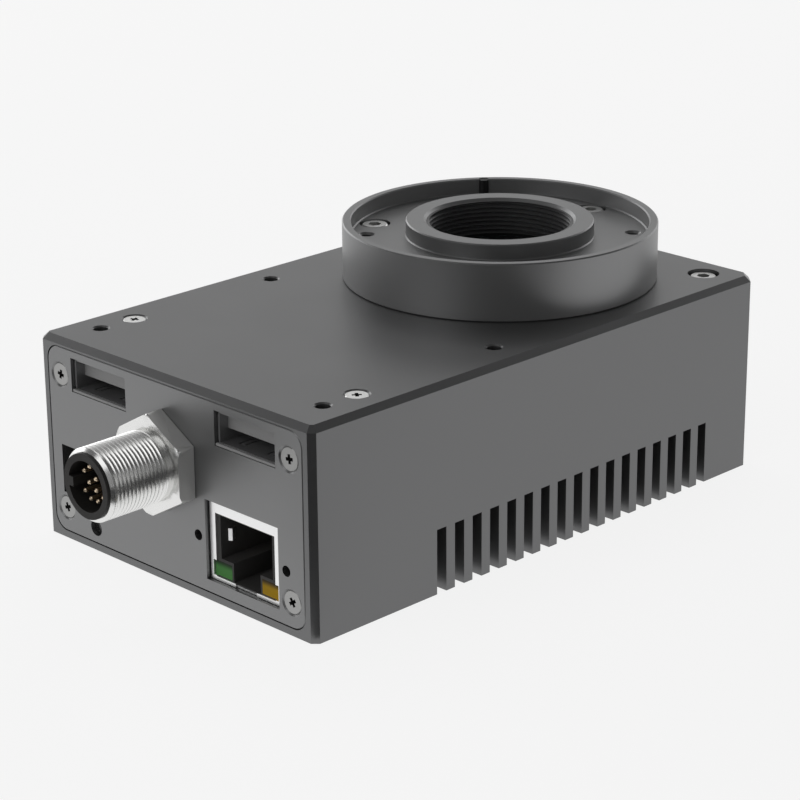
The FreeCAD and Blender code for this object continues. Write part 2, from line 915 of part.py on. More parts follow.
def round_pins():
    tip = front - round_tip - insert_proud + pin_inset
    pins = []
    for x, z in pin_places():
        outline = [(0, tip), (pin_radius / 2, tip), (pin_radius, tip + pin_radius / 2),
                   (pin_radius, board_front), (0, board_front)]
        pins.append(level_turned(outline, x, z))
    return Part.makeCompound(pins)


def round_nut():
    nut = hexagon(nut_flats, panel_rear, panel_rear + nut_thickness, round_x, round_z)
    return nut.cut(level(round_thread_radius + thread_gap, panel_rear,
                         panel_rear + nut_thickness, round_x, round_z))


def jack_shield():
    """Bent steel can with a wide front frame, gapped for the plug's latch and for two lamps."""
    x0 = jack_x - jack_width / 2
    x1 = jack_x + jack_width / 2
    z0 = jack_z - jack_height / 2
    z1 = jack_z + jack_height / 2
    can = block(x0, x1, socket_front, board_front, z0, z1)
    hollow = block(x0 + jack_wall, x1 - jack_wall, socket_front + jack_wall, board_front,
                   z0 + jack_wall, z1 - jack_wall)
    can = can.cut(hollow)
    half = jack_face_width / 2
    face_end = socket_front + jack_wall
    cuts = [block(jack_x - half, jack_x + half, socket_front, face_end, z0 + jack_face_low,
                  z1 - jack_face_high),
            block(jack_x - latch_gap_width / 2, jack_x + latch_gap_width / 2, socket_front,
                  face_end, z0, z0 + jack_face_low)]
    for middle in lamp_middles():
        cuts.append(block(middle - led_width / 2 - seat_gap, middle + led_width / 2 + seat_gap,
                          socket_front, face_end, led_low, led_low + led_height + seat_gap))
    return can.cut(cuts)


def lamp_middles():
    return [jack_x - led_offset, jack_x + led_offset]


def jack_body():
    """Moulded jack: a plug well with its latch channel below and a lamp pocket at each side."""
    x0 = jack_x - jack_width / 2 + jack_wall
    x1 = jack_x + jack_width / 2 - jack_wall
    y0 = socket_front + jack_wall
    z0 = jack_z - jack_height / 2 + jack_wall
    z1 = jack_z + jack_height / 2 - jack_wall
    body = block(x0, x1, y0, board_front, z0, z1)
    end = y0 + plug_depth
    cuts = [block(jack_x - plug_width / 2, jack_x + plug_width / 2, y0, end, plug_low, plug_high),
            block(jack_x - latch_width / 2, jack_x + latch_width / 2, y0, end, latch_low, plug_low)]
    for middle in lamp_middles():
        cuts.append(block(middle - led_width / 2, middle + led_width / 2, y0,
                          y0 + led_depth, led_low, led_low + led_height))
    for x, outline in jack_contact_outlines():
        cuts.append(contact_strip(x, outline, contact_width))
    return body.cut(cuts)


def jack_contact_outlines():
    """Each contact springs down and back from the front edge of the well's ceiling."""
    y0 = socket_front + jack_wall + contact_front
    bend = y0 + contact_reach
    end = socket_front + jack_wall + plug_depth
    top = plug_high
    low = top - contact_drop
    outlines = []
    for turn in range(contact_count):
        x = jack_x + contact_pitch * (turn - (contact_count - 1) / 2)
        outlines.append((x, [(y0, top), (y0, top - contact_width), (bend, low), (end, low),
                             (end, low + contact_width), (bend, low + contact_width),
                             (y0 + 3 * contact_width, top)]))
    return outlines


def contact_strip(x, outline, width):
    points = [Vector(x - width / 2, y, z) for y, z in outline]
    face = Part.Face(Part.makePolygon(points + points[:1]))
    return face.extrude(Vector(width, 0, 0))


def jack_contacts():
    return Part.makeCompound([contact_strip(x, outline, contact_width)
                              for x, outline in jack_contact_outlines()])


def jack_lamp(middle):
    y0 = socket_front + jack_wall
    return block(middle - led_width / 2, middle + led_width / 2, y0, y0 + led_depth,
                 led_low, led_low + led_height)


def port_shell(x):
    """Bent steel sleeve of one port, with two spring tongues slit out of its floor."""
    z = body_height - port_top
    half_x = port_width / 2 - port_shell_gap
    half_z = port_height / 2 - port_shell_gap
    shell = block(x - half_x, x + half_x, socket_front, board_front, z - half_z, z + half_z)
    corners = edges_along(shell, Vector(0, 1, 0), lambda middle: True)
    shell = shell.makeFillet(2 * port_wall, corners)
    hollow = block(x - half_x + port_wall, x + half_x - port_wall, socket_front, board_front,
                   z - half_z + port_wall, z + half_z - port_wall)
    slit_front = socket_front + tongue_front
    slit_end = slit_front + tongue_length
    cuts = [hollow]
    for middle in (x - tongue_spacing / 2, x + tongue_spacing / 2):
        slit = block(middle - tongue_width / 2, middle + tongue_width / 2, slit_front, slit_end,
                     z - half_z, z - half_z + port_wall)
        tongue = block(middle - tongue_width / 2 + tongue_slit, middle + tongue_width / 2 - tongue_slit,
                       slit_front + tongue_slit, slit_end, z - half_z, z - half_z + port_wall)
        cuts.append(slit.cut(tongue))
    return shell.cut(cuts)


def port_block(x):
    """Moulded block inside a port: it fills the top and the back and leaves a low slot."""
    z = body_height - port_top
    half_x = port_width / 2 - port_shell_gap - port_wall
    low = z - port_height / 2 + port_shell_gap + port_wall
    high = z + port_height / 2 - port_shell_gap - port_wall
    y0 = front + port_block_recess
    body = block(x - half_x, x + half_x, y0, board_front, low, high)
    slot = block(x - half_x, x + half_x, y0, y0 + port_slot_depth, low, high - port_block_height)
    return body.cut(slot)


def aux_socket():
    """Moulded square socket behind the lower port's opening."""
    half_x = aux_width / 2 + aux_lap
    half_z = aux_height / 2 + aux_lap
    body = block(aux_x - half_x, aux_x + half_x, panel_rear, board_front,
                 aux_z - half_z, aux_z + half_z)
    well = block(aux_x - half_x + aux_wall, aux_x + half_x - aux_wall, panel_rear,
                 panel_rear + aux_depth, aux_z - half_z + aux_wall, aux_z + half_z - aux_wall)
    holes = [level(aux_pin_radius, panel_rear + aux_depth, board_front, x, z)
             for x, z in aux_pin_places()]
    return body.cut(well).cut(holes)


def aux_pin_places():
    half = aux_pin_pitch / 2
    return [(aux_x + dx, aux_z + dz) for dx in (-half, half) for dz in (-half, half)]


def aux_pins():
    start = panel_rear + aux_depth - aux_pin_length
    return Part.makeCompound([level(aux_pin_radius, start, board_front, x, z)
                              for x, z in aux_pin_places()])


def light_pipe():
    start = front + lamp_recess
    return level(lamp_radius - seat_gap, start, board_front - lamp_chip_height, lamp_x, lamp_z)


def status_lamp():
    half = lamp_chip_side / 2
    return block(lamp_x - half, lamp_x + half, board_front - lamp_chip_height, board_front,
                 lamp_z - half, lamp_z + half)


def seal_outer_radius():
    return round_thread_radius + thread_gap + round_seal_section


def round_seal():
    """Square-section ring let into the hexagon's rear face, against the panel."""
    ring = level(seal_outer_radius(), front - round_seal_section, front, round_x, round_z)
    return ring.cut(level(round_thread_radius + thread_gap, front - round_seal_section, front,
                          round_x, round_z))


def build_parts():
    parts = {
        "housing": housing(),
        "connector_panel": connector_panel(),
        "panel_gasket": panel_gasket(),
        "panel_screws": countersunk(panel_screw_places(), small_screw_length, True),
        "frame_screws_front": countersunk(frame_screw_places(), frame_screw_length, False),
        "frame_screws_rear": cap_screws(rear_screw_places(), body_height - cap_head_sink,
                                        rear_screw_length),
        "lens_mount": lens_mount(),
        "lens_mount_seal": mount_seal(),
        "lens_mount_screws": cap_screws(mount_screw_places(), recess_floor - mount_head_sink,
                                        mount_screw_length),
        "index_pin": index_pin(),
        "filter_glass": filter_glass(),
        "filter_ring": filter_ring(),
        "sensor_board": sensor_board(),
        "sensor_package": sensor_package(),
        "sensor_chip": sensor_chip(),
        "sensor_cover_glass": sensor_glass(),
        "sensor_posts": sensor_posts(),
        "sensor_board_screws": pan_screws_up(sensor_post_places(), sensor_board_low,
                                             short_screw_length),
        "sensor_plug": sensor_plug(),
        "sensor_receptacle": sensor_receptacle(),
        "inner_frame": inner_frame(),
        "main_board": main_board(),
        "board_posts": board_posts(),
        "main_board_screws": pan_screws_up(board_post_places(), main_board_low,
                                           frame_low - main_board_low - board_screw_spare),
        "processor": processor(),
        "thermal_pad": thermal_pad(),
        "heat_spreader": heat_spreader(),
        "memory_chips": memory_chips(),
        "power_coils": power_coils(),
        "upright_board": upright_board(),
        "panel_posts": panel_posts(),
        "upright_board_screws": pan_screws_level(panel_post_places(), board_rear,
                                                short_screw_length),
        "board_header": board_header(),
        "board_receptacle": board_receptacle(),
        "round_connector_shell": round_shell(),
        "round_connector_insert": round_insert(),
        "round_connector_pins": round_pins(),
        "round_connector_nut": round_nut(),
        "round_connector_seal": round_seal(),
        "jack_shield": jack_shield(),
        "jack_body": jack_body(),
        "jack_contacts": jack_contacts(),
        "jack_lamp_green": jack_lamp(lamp_middles()[0]),
        "jack_lamp_amber": jack_lamp(lamp_middles()[1]),
        "aux_socket": aux_socket(),
        "aux_socket_pins": aux_pins(),
        "status_light_pipe": light_pipe(),
        "status_lamp": status_lamp(),
    }
    for name, x in port_places().items():
        parts["port_shell_" + name] = port_shell(x)
        parts["port_block_" + name] = port_block(x)
    return parts


os.makedirs("parts", exist_ok=True)
for node, shape in build_parts().items():
    shape.exportStep("parts/" + node + ".step")
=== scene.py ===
import math
import bmesh
import bpy
from mathutils import Matrix, Vector


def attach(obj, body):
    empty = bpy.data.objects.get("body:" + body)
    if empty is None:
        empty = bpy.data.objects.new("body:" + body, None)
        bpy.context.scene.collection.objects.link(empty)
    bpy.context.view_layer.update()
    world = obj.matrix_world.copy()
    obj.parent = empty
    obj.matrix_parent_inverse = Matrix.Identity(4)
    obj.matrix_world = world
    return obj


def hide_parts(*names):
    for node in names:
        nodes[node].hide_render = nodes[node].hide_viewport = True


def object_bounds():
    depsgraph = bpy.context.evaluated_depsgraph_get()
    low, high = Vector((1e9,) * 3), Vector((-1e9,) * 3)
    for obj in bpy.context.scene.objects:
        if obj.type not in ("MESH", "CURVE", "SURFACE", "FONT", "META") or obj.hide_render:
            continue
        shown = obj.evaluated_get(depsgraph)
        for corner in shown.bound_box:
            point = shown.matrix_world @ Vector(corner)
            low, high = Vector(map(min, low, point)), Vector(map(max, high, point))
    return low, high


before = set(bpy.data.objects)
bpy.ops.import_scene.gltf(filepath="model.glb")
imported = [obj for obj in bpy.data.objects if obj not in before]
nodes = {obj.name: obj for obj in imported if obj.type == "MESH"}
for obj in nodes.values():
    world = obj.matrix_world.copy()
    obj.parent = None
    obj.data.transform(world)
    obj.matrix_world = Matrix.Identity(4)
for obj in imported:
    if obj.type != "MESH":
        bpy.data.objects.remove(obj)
cad_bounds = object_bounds()


# The view: a long lens looks down at the connector corner from a little above the top
# face, so that the connector panel, the long side and the lens mount all show.
view_azimuth = math.radians(45.228)
view_elevation = math.radians(19.995)
view_roll = math.radians(-0.434)
view_target = Vector((-0.00226, -0.00015, 0.01687))
view_distance = 0.444
view_right = Vector((math.cos(view_azimuth), math.sin(view_azimuth), 0.0))
view_back = Vector((math.sin(view_azimuth) * math.cos(view_elevation),
                    -math.cos(view_azimuth) * math.cos(view_elevation),
                    math.sin(view_elevation)))
view_up = view_back.cross(view_right)
turned_right = math.cos(view_roll) * view_right + math.sin(view_roll) * view_up
turned_up = math.cos(view_roll) * view_up - math.sin(view_roll) * view_right
view_place = Matrix((turned_right, turned_up, view_back)).transposed().to_4x4()
view_place.translation = view_target + view_distance * view_back
view_lens = bpy.data.cameras.new("view_camera")
view_lens.lens = 116.78
view_lens.sensor_width = 36.0
view_lens.clip_start = 0.01
view_camera = bpy.data.objects.new("view_camera", view_lens)
view_camera.matrix_world = view_place
bpy.context.scene.collection.objects.link(view_camera)
bpy.context.scene.camera = view_camera
bpy.context.scene.view_settings.view_transform = "Standard"


# The studio: a pale paper floor that keeps a soft shadow, a dark cloth that only
# reflections see, a pale room that is darker towards the view, and four soft boxes.
# The paper glows where the camera, glass or a mirror sees it, so that it reads near white.
def operation_node(tree, operation, kind="ShaderNodeMath"):
    """Add a maths node that is set to one operation."""
    node = tree.nodes.new(kind)
    node.operation = operation
    return node


paper_glow_share = 0.86
paper = bpy.data.materials.new("studio_paper")
paper.use_nodes = True
tree = paper.node_tree
tree.nodes.clear()
paper_out = tree.nodes.new("ShaderNodeOutputMaterial")
paper_diffuse = tree.nodes.new("ShaderNodeBsdfDiffuse")
paper_diffuse.inputs["Color"].default_value = (0.9, 0.9, 0.9, 1.0)
paper_glow = tree.nodes.new("ShaderNodeEmission")
paper_glow.inputs["Color"].default_value = (1.0, 1.0, 1.0, 1.0)
paper_glow.inputs["Strength"].default_value = 1.0
paper_path = tree.nodes.new("ShaderNodeLightPath")
paper_seen = operation_node(tree, "MAXIMUM")
paper_mirrored = operation_node(tree, "MAXIMUM")
paper_share = operation_node(tree, "MULTIPLY")
paper_share.inputs[1].default_value = paper_glow_share
paper_mix = tree.nodes.new("ShaderNodeMixShader")
tree.links.new(paper_path.outputs["Is Camera Ray"], paper_seen.inputs[0])
tree.links.new(paper_path.outputs["Is Transmission Ray"], paper_seen.inputs[1])
tree.links.new(paper_path.outputs["Is Glossy Ray"], paper_mirrored.inputs[0])
tree.links.new(paper_seen.outputs[0], paper_mirrored.inputs[1])
tree.links.new(paper_mirrored.outputs[0], paper_share.inputs[0])
tree.links.new(paper_share.outputs[0], paper_mix.inputs[0])
tree.links.new(paper_diffuse.outputs[0], paper_mix.inputs[1])
tree.links.new(paper_glow.outputs[0], paper_mix.inputs[2])
tree.links.new(paper_mix.outputs[0], paper_out.inputs[0])
floor_height = cad_bounds[0][2]
floor_reach = 4.0
floor_shape = bmesh.new()
bmesh.ops.create_grid(floor_shape, x_segments=1, y_segments=1, size=floor_reach)
bmesh.ops.translate(floor_shape, vec=(0.0, 0.0, floor_height), verts=floor_shape.verts)
floor_mesh = bpy.data.meshes.new("studio_floor")
floor_shape.to_mesh(floor_mesh)
floor_shape.free()
floor_mesh.materials.append(paper)
plane = bpy.data.objects.new("studio_floor", floor_mesh)
bpy.context.scene.collection.objects.link(plane)

# The cloth lies in front of the camera corner, its outline given as turns in degrees and
# reaches from that corner. It gives the metal the dark bands of a studio picture.
cloth = bpy.data.materials.new("studio_cloth")
cloth.use_nodes = True
cloth_shader = cloth.node_tree.nodes["Principled BSDF"]
cloth_shader.inputs["Base Color"].default_value = (0.06, 0.06, 0.06, 1.0)
cloth_shader.inputs["Roughness"].default_value = 0.9
cloth_corner = Vector((0.0325, -0.0532, floor_height + 0.0005))
cloth_outline = ((20, 0.0), (-60, 0.015), (-72, 0.024), (-112, 0.03), (-129, 0.08),
                 (-129, 0.9), (-79, 0.9), (-30, 0.9), (20, 0.9))
cloth_shape = bmesh.new()
cloth_shape.faces.new([
    cloth_shape.verts.new(cloth_corner + reach * Vector((math.cos(math.radians(turn)),
                                                         math.sin(math.radians(turn)), 0.0)))
    for turn, reach in cloth_outline])
cloth_mesh = bpy.data.meshes.new("studio_cloth")
cloth_shape.to_mesh(cloth_mesh)
cloth_shape.free()
cloth_mesh.materials.append(cloth)
cloth_card = bpy.data.objects.new("studio_cloth", cloth_mesh)
cloth_card.visible_camera = False
cloth_card.visible_transmission = False
cloth_card.visible_diffuse = False
cloth_card.visible_shadow = False
bpy.context.scene.collection.objects.link(cloth_card)

# The room's light fades towards the camera, a little to the camera's right, and overhead.
# The camera itself sees plain white.
room = bpy.data.worlds.new("studio_room")
bpy.context.scene.world = room
room.use_nodes = True
tree = room.node_tree
tree.nodes.clear()
room_out = tree.nodes.new("ShaderNodeOutputWorld")
room_light = tree.nodes.new("ShaderNodeBackground")
room_white = tree.nodes.new("ShaderNodeBackground")
room_white.inputs["Color"].default_value = (1.0, 1.0, 1.0, 1.0)
room_white.inputs["Strength"].default_value = 1.0
room_light.inputs["Strength"].default_value = 1.0
room_place = tree.nodes.new("ShaderNodeTexCoord")
room_split = tree.nodes.new("ShaderNodeSeparateXYZ")
room_path = tree.nodes.new("ShaderNodeLightPath")
room_mix = tree.nodes.new("ShaderNodeMixShader")


def room_direction(direction):
    """How far a ray points along a level direction, from -1 to 1."""
    axis = operation_node(tree, "DOT_PRODUCT", "ShaderNodeVectorMath")
    axis.inputs[1].default_value = direction
    return axis


def room_ramp(start, end, light_before, light_after):
    """The room's light changes smoothly between two values of a direction."""
    ramp = tree.nodes.new("ShaderNodeMapRange")
    ramp.interpolation_type = "SMOOTHSTEP"
    ramp.inputs["From Min"].default_value = start
    ramp.inputs["From Max"].default_value = end
    ramp.inputs["To Min"].default_value = light_before
    ramp.inputs["To Max"].default_value = light_after
    return ramp


room_axis = room_direction((0.7071, -0.7071, 0.0))
room_side_axis = room_direction((0.7071, 0.7071, 0.0))
room_front = room_ramp(start=0.42, end=0.95, light_before=1.0, light_after=0.28)
room_side = room_ramp(start=0.45, end=0.9, light_before=1.0, light_after=0.8)
room_high = room_ramp(start=0.29, end=0.6, light_before=0.85, light_after=0.1)
room_sides = operation_node(tree, "MULTIPLY")
room_level = operation_node(tree, "MULTIPLY")
room_seen = operation_node(tree, "MAXIMUM")
tree.links.new(room_place.outputs["Generated"], room_axis.inputs[0])
tree.links.new(room_place.outputs["Generated"], room_side_axis.inputs[0])
tree.links.new(room_place.outputs["Generated"], room_split.inputs[0])
tree.links.new(room_axis.outputs["Value"], room_front.inputs["Value"])
tree.links.new(room_side_axis.outputs["Value"], room_side.inputs["Value"])
tree.links.new(room_split.outputs["Z"], room_high.inputs["Value"])
tree.links.new(room_front.outputs["Result"], room_sides.inputs[0])
tree.links.new(room_side.outputs["Result"], room_sides.inputs[1])
tree.links.new(room_sides.outputs[0], room_level.inputs[0])
tree.links.new(room_high.outputs["Result"], room_level.inputs[1])
tree.links.new(room_level.outputs[0], room_light.inputs["Color"])
tree.links.new(room_path.outputs["Is Camera Ray"], room_seen.inputs[0])
tree.links.new(room_path.outputs["Is Transmission Ray"], room_seen.inputs[1])
tree.links.new(room_seen.outputs[0], room_mix.inputs[0])
tree.links.new(room_light.outputs[0], room_mix.inputs[1])
tree.links.new(room_white.outputs[0], room_mix.inputs[2])
tree.links.new(room_mix.outputs[0], room_out.inputs[0])


def soft_box(name, place, aim, width, height, power):
    """A rectangular lamp, its size in metres and its power in watts."""
    lamp = bpy.data.lights.new(name, "AREA")
    lamp.shape = "RECTANGLE"
    lamp.size = width
    lamp.size_y = height
    lamp.energy = power
    lamp_object = bpy.data.objects.new(name, lamp)
    lamp_object.location = place
    direction = Vector(aim) - Vector(place)
    lamp_object.rotation_euler = direction.to_track_quat("-Z", "Y").to_euler()
    bpy.context.scene.collection.objects.link(lamp_object)


soft_box("soft_box_overhead", place=(-0.45, 0.45, 0.95), aim=(0.0, 0.0, 0.0),
         width=0.8, height=0.8, power=1.7)
soft_box("soft_box_front", place=(-0.02, -0.85, 0.58), aim=(0.0, -0.05, 0.02),
         width=0.6, height=0.8, power=1.6)
soft_box("soft_box_left", place=(-1.0, 0.02, 0.3), aim=(0.0, 0.02, 0.04),
         width=0.9, height=0.5, power=1.9)
soft_box("soft_box_back", place=(-0.05, 1.0, 0.32), aim=(0.0, 0.02, 0.04),
         width=0.6, height=0.4, power=0.6)


# Body and connector panel: both are milled from aluminium, bead blasted and anodised dark
# grey. The panel sits in the body's front and four countersunk screws hold it.
def grain_group():
    """Mix a fine grain with a slow cloud and spread colour and gloss by it."""
    grain_share = 0.45
    group = bpy.data.node_groups.new("fine_grain", "ShaderNodeTree")
    sockets = [("Vector", "NodeSocketVector"), ("Light Colour", "NodeSocketColor"),
               ("Dark Colour", "NodeSocketColor"), ("Grain Scale", "NodeSocketFloat"),
               ("Cloud Scale", "NodeSocketFloat"), ("Rough Low", "NodeSocketFloat"),
               ("Rough High", "NodeSocketFloat")]
    for label, kind in sockets:
        group.interface.new_socket(name=label, in_out="INPUT", socket_type=kind)
    for label, kind in [("Colour", "NodeSocketColor"), ("Roughness", "NodeSocketFloat"),
                        ("Height", "NodeSocketFloat")]:
        group.interface.new_socket(name=label, in_out="OUTPUT", socket_type=kind)
    start = group.nodes.new("NodeGroupInput")
    end = group.nodes.new("NodeGroupOutput")
    grain = group.nodes.new("ShaderNodeTexNoise")
    grain.inputs["Detail"].default_value = 2.0
    cloud = group.nodes.new("ShaderNodeTexNoise")
    cloud.inputs["Detail"].default_value = 3.0
    blend = operation_node(group, "MULTIPLY_ADD")
    blend.inputs[1].default_value = grain_share
    spread = operation_node(group, "MULTIPLY")
    spread.inputs[1].default_value = 1.0 - grain_share
    tint = group.nodes.new("ShaderNodeMix")
    tint.data_type = "RGBA"
    rough = group.nodes.new("ShaderNodeMapRange")
    rough.inputs["From Min"].default_value = 0.3
    rough.inputs["From Max"].default_value = 0.7
    link = group.links.new
    link(start.outputs["Vector"], grain.inputs["Vector"])
    link(start.outputs["Vector"], cloud.inputs["Vector"])
    link(start.outputs["Grain Scale"], grain.inputs["Scale"])
    link(start.outputs["Cloud Scale"], cloud.inputs["Scale"])
    link(cloud.outputs["Fac"], spread.inputs[0])
    link(grain.outputs["Fac"], blend.inputs[0])
    link(spread.outputs[0], blend.inputs[2])
    link(blend.outputs[0], tint.inputs["Factor"])
    link(start.outputs["Dark Colour"], tint.inputs["A"])
    link(start.outputs["Light Colour"], tint.inputs["B"])
    link(blend.outputs[0], rough.inputs["Value"])
    link(start.outputs["Rough Low"], rough.inputs["To Min"])
    link(start.outputs["Rough High"], rough.inputs["To Max"])
    link(tint.outputs["Result"], end.inputs["Colour"])
    link(rough.outputs["Result"], end.inputs["Roughness"])
    link(grain.outputs["Fac"], end.inputs["Height"])
    return group


fine_grain = grain_group()


def grained(name, light, dark, rough, metallic, grain=5200.0, cloud=55.0, relief=0.000001,
            stretch=(1.0, 1.0, 1.0), specular=0.5):
    """A finish whose colour, gloss and relief vary with a fine grain and a slow cloud."""
    material = bpy.data.materials.new(name)
    material.use_nodes = True
    tree = material.node_tree
    shader = tree.nodes["Principled BSDF"]
    shader.inputs["Metallic"].default_value = metallic
    shader.inputs["Specular IOR Level"].default_value = specular
    place = tree.nodes.new("ShaderNodeTexCoord")
    mapping = tree.nodes.new("ShaderNodeMapping")
    mapping.inputs["Scale"].default_value = stretch
    skin = tree.nodes.new("ShaderNodeGroup")
    skin.node_tree = fine_grain
    skin.inputs["Light Colour"].default_value = (*light, 1.0)
    skin.inputs["Dark Colour"].default_value = (*dark, 1.0)
    skin.inputs["Grain Scale"].default_value = grain
    skin.inputs["Cloud Scale"].default_value = cloud
    skin.inputs["Rough Low"].default_value = rough[0]
    skin.inputs["Rough High"].default_value = rough[1]
    bump = tree.nodes.new("ShaderNodeBump")
    bump.inputs["Strength"].default_value = 0.5
    bump.inputs["Distance"].default_value = relief
    tree.links.new(place.outputs["Object"], mapping.inputs["Vector"])
    tree.links.new(mapping.outputs["Vector"], skin.inputs["Vector"])
    tree.links.new(skin.outputs["Colour"], shader.inputs["Base Color"])
    tree.links.new(skin.outputs["Roughness"], shader.inputs["Roughness"])
    tree.links.new(skin.outputs["Height"], bump.inputs["Height"])
    tree.links.new(bump.outputs["Normal"], shader.inputs["Normal"])
    return material


def dress(material, *names):
    """Give CAD nodes their finish."""
    for name in names:
        mesh = nodes[name].data
        mesh.materials.clear()
        mesh.materials.append(material)


anodised_body = grained("anodised_body", (0.185, 0.186, 0.188), (0.17, 0.171, 0.173),
                        (0.36, 0.41), 0.88)
anodised_panel = grained("anodised_panel", (0.245, 0.246, 0.248), (0.226, 0.227, 0.229),
                         (0.36, 0.41), 0.88)
black_rubber = grained("black_rubber", (0.022, 0.022, 0.023), (0.012, 0.012, 0.013),
                       (0.7, 0.85), 0.0, grain=2600.0, relief=0.00001)
dress(anodised_body, "housing")
dress(anodised_panel, "connector_panel")
dress(black_rubber, "panel_gasket")


# Countersunk screws: zinc-plated steel, upset and rolled, with a tapered cross recess
# pressed into the head. Four hold the panel and two the front of the inner frame.
plated_screw = grained("plated_screw", (0.4, 0.4, 0.395), (0.32, 0.32, 0.315),
                       (0.3, 0.4), 1.0, grain=3000.0, cloud=900.0)


def add_piece(name, shape, material, slot, *replaced):
    """Turn a finished bmesh into a piece that rides on the body."""
    bmesh.ops.remove_doubles(shape, verts=shape.verts, dist=1e-7)
    mesh = bpy.data.meshes.new(name)
    shape.to_mesh(mesh)
    shape.free()
    mesh.materials.append(material)
    mesh.shade_smooth()
    mesh.set_sharp_from_angle(angle=math.radians(20.0))
    piece = bpy.data.objects.new(name, mesh)
    bpy.context.scene.collection.objects.link(piece)
    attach(piece, "root")
    if replaced:
        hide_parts(*replaced)
    return piece


def grow_ring(shape, edges, radius, height):
    """Extrude a ring of edges about the local Z axis to a new radius and height."""
    grown = bmesh.ops.extrude_edge_only(shape, edges=edges)["geom"]
    verts = [item for item in grown if isinstance(item, bmesh.types.BMVert)]
    for vert in verts:
        flat = Vector((vert.co.x, vert.co.y, 0.0)).normalized() * radius
        vert.co = (flat.x, flat.y, height)
    return [item for item in grown if isinstance(item, bmesh.types.BMEdge)
            and all(vert in verts for vert in item.verts)]


def close_ring(shape, edges):
    """Close a ring of edges with one face."""
    bmesh.ops.holes_fill(shape, edges=edges, sides=0)


def cross_screw_mesh(head, shank, length, recess_reach, recess_width, recess_depth):
    """One countersunk screw, its head's flat top at height 0 and its shank downwards."""
    rounding, point, floor_share = 0.00012, 0.0003, 0.62
    shape = bmesh.new()
    bmesh.ops.create_circle(shape, cap_ends=True, segments=40, radius=head - rounding)
    for reach in (recess_width / 2, recess_reach):
        for normal in ((1, 0, 0), (-1, 0, 0), (0, 1, 0), (0, -1, 0)):
            bmesh.ops.bisect_plane(shape, geom=shape.verts[:] + shape.edges[:] + shape.faces[:],
                                   plane_co=Vector(normal) * reach, plane_no=normal)
    wings = []
    for face in shape.faces:
        middle = face.calc_center_median()
        short, long = sorted((abs(middle.x), abs(middle.y)))
        if short < recess_width / 2 and long < recess_reach:
            wings.append(face)
    rim = [edge for edge in shape.edges if edge.is_boundary]
    sunk = bmesh.ops.extrude_face_region(shape, geom=wings)["geom"]
    floor = [item for item in sunk if isinstance(item, bmesh.types.BMVert)]
    bmesh.ops.delete(shape, geom=wings, context="FACES_ONLY")
    bmesh.ops.translate(shape, vec=(0, 0, -recess_depth), verts=floor)
    bmesh.ops.scale(shape, vec=(floor_share, floor_share, 1.0), verts=floor)
    # The recess faces take the second slot, which holds the painted shade of the recess.
    for face in {face for vert in floor for face in vert.link_faces}:
        face.material_index = 1
    ring = grow_ring(shape, rim, head, -rounding)
    ring = grow_ring(shape, ring, shank, shank - head)
    ring = grow_ring(shape, ring, shank, point - length)
    ring = grow_ring(shape, ring, shank - point, -length)
    close_ring(shape, ring)
    bmesh.ops.recalc_face_normals(shape, faces=shape.faces)
    mesh = bpy.data.meshes.new("screw_pattern")
    shape.to_mesh(mesh)
    shape.free()
    return mesh


def repeat_mesh(mesh, places):
    """Put copies of one mesh at several places."""
    shape = bmesh.new()
    for place in places:
        before = len(shape.verts)
        shape.from_mesh(mesh)
        shape.verts.ensure_lookup_table()
        bmesh.ops.transform(shape, matrix=place, verts=shape.verts[before:])
    bpy.data.meshes.remove(mesh)
    return shape


panel_screw_x, panel_head_y = 0.0274, -0.05283
panel_screw_places = [
    Matrix.Translation((x, panel_head_y, z)) @ Matrix.Rotation(math.radians(90.0), 4, "X")
    @ Matrix.Rotation(math.radians(turn), 4, "Z")
    for x, z, turn in ((-panel_screw_x, 0.0055, 20.0), (-panel_screw_x, 0.0288, -12.0),
                       (panel_screw_x, 0.0055, 33.0), (panel_screw_x, 0.0288, 8.0))]
panel_screw_mesh = cross_screw_mesh(head=0.00195, shank=0.001, length=0.006,
                                    recess_reach=0.00078, recess_width=0.00056,
                                    recess_depth=0.0014)
panel_cross_screws = add_piece("panel_cross_screws",
                               repeat_mesh(panel_screw_mesh, panel_screw_places),
                               plated_screw, "plated_screw", "panel_screws")
# The two frame screws on top take a lighter copy of the plated finish: painted light on their
# heads.
plated_screw_painted_light = grained("plated_screw_painted_light", (0.9, 0.9, 0.89), (0.8, 0.8, 0.79),
                       (0.3, 0.4), 1.0, grain=3000.0, cloud=900.0)
frame_screw_x, frame_screw_y, frame_head_z = 0.02645, -0.03785, 0.03486
frame_screw_places = [
    Matrix.Translation((x, frame_screw_y, frame_head_z)) @ Matrix.Rotation(turn, 4, "Z")
    for x, turn in ((-frame_screw_x, 0.35), (frame_screw_x, 0.9))]
frame_screw_mesh = cross_screw_mesh(head=0.0019, shank=0.001, length=0.008,
                                    recess_reach=0.00078, recess_width=0.00056,
                                    recess_depth=0.0014)
frame_cross_screws = add_piece("frame_cross_screws",
                               repeat_mesh(frame_screw_mesh, frame_screw_places),
                               plated_screw_painted_light, "plated_screw", "frame_screws_front")

# The recesses of both are painted near black: painted shade for the dark of a narrow recess.
painted_recess_shade = grained("painted_recess_shade", (0.02, 0.02, 0.02), (0.01, 0.01, 0.01), (0.6, 0.8), 0.0,
                       grain=3000.0, cloud=900.0)
for screws in (panel_cross_screws, frame_cross_screws):
    screws.data.materials.append(painted_recess_shade)


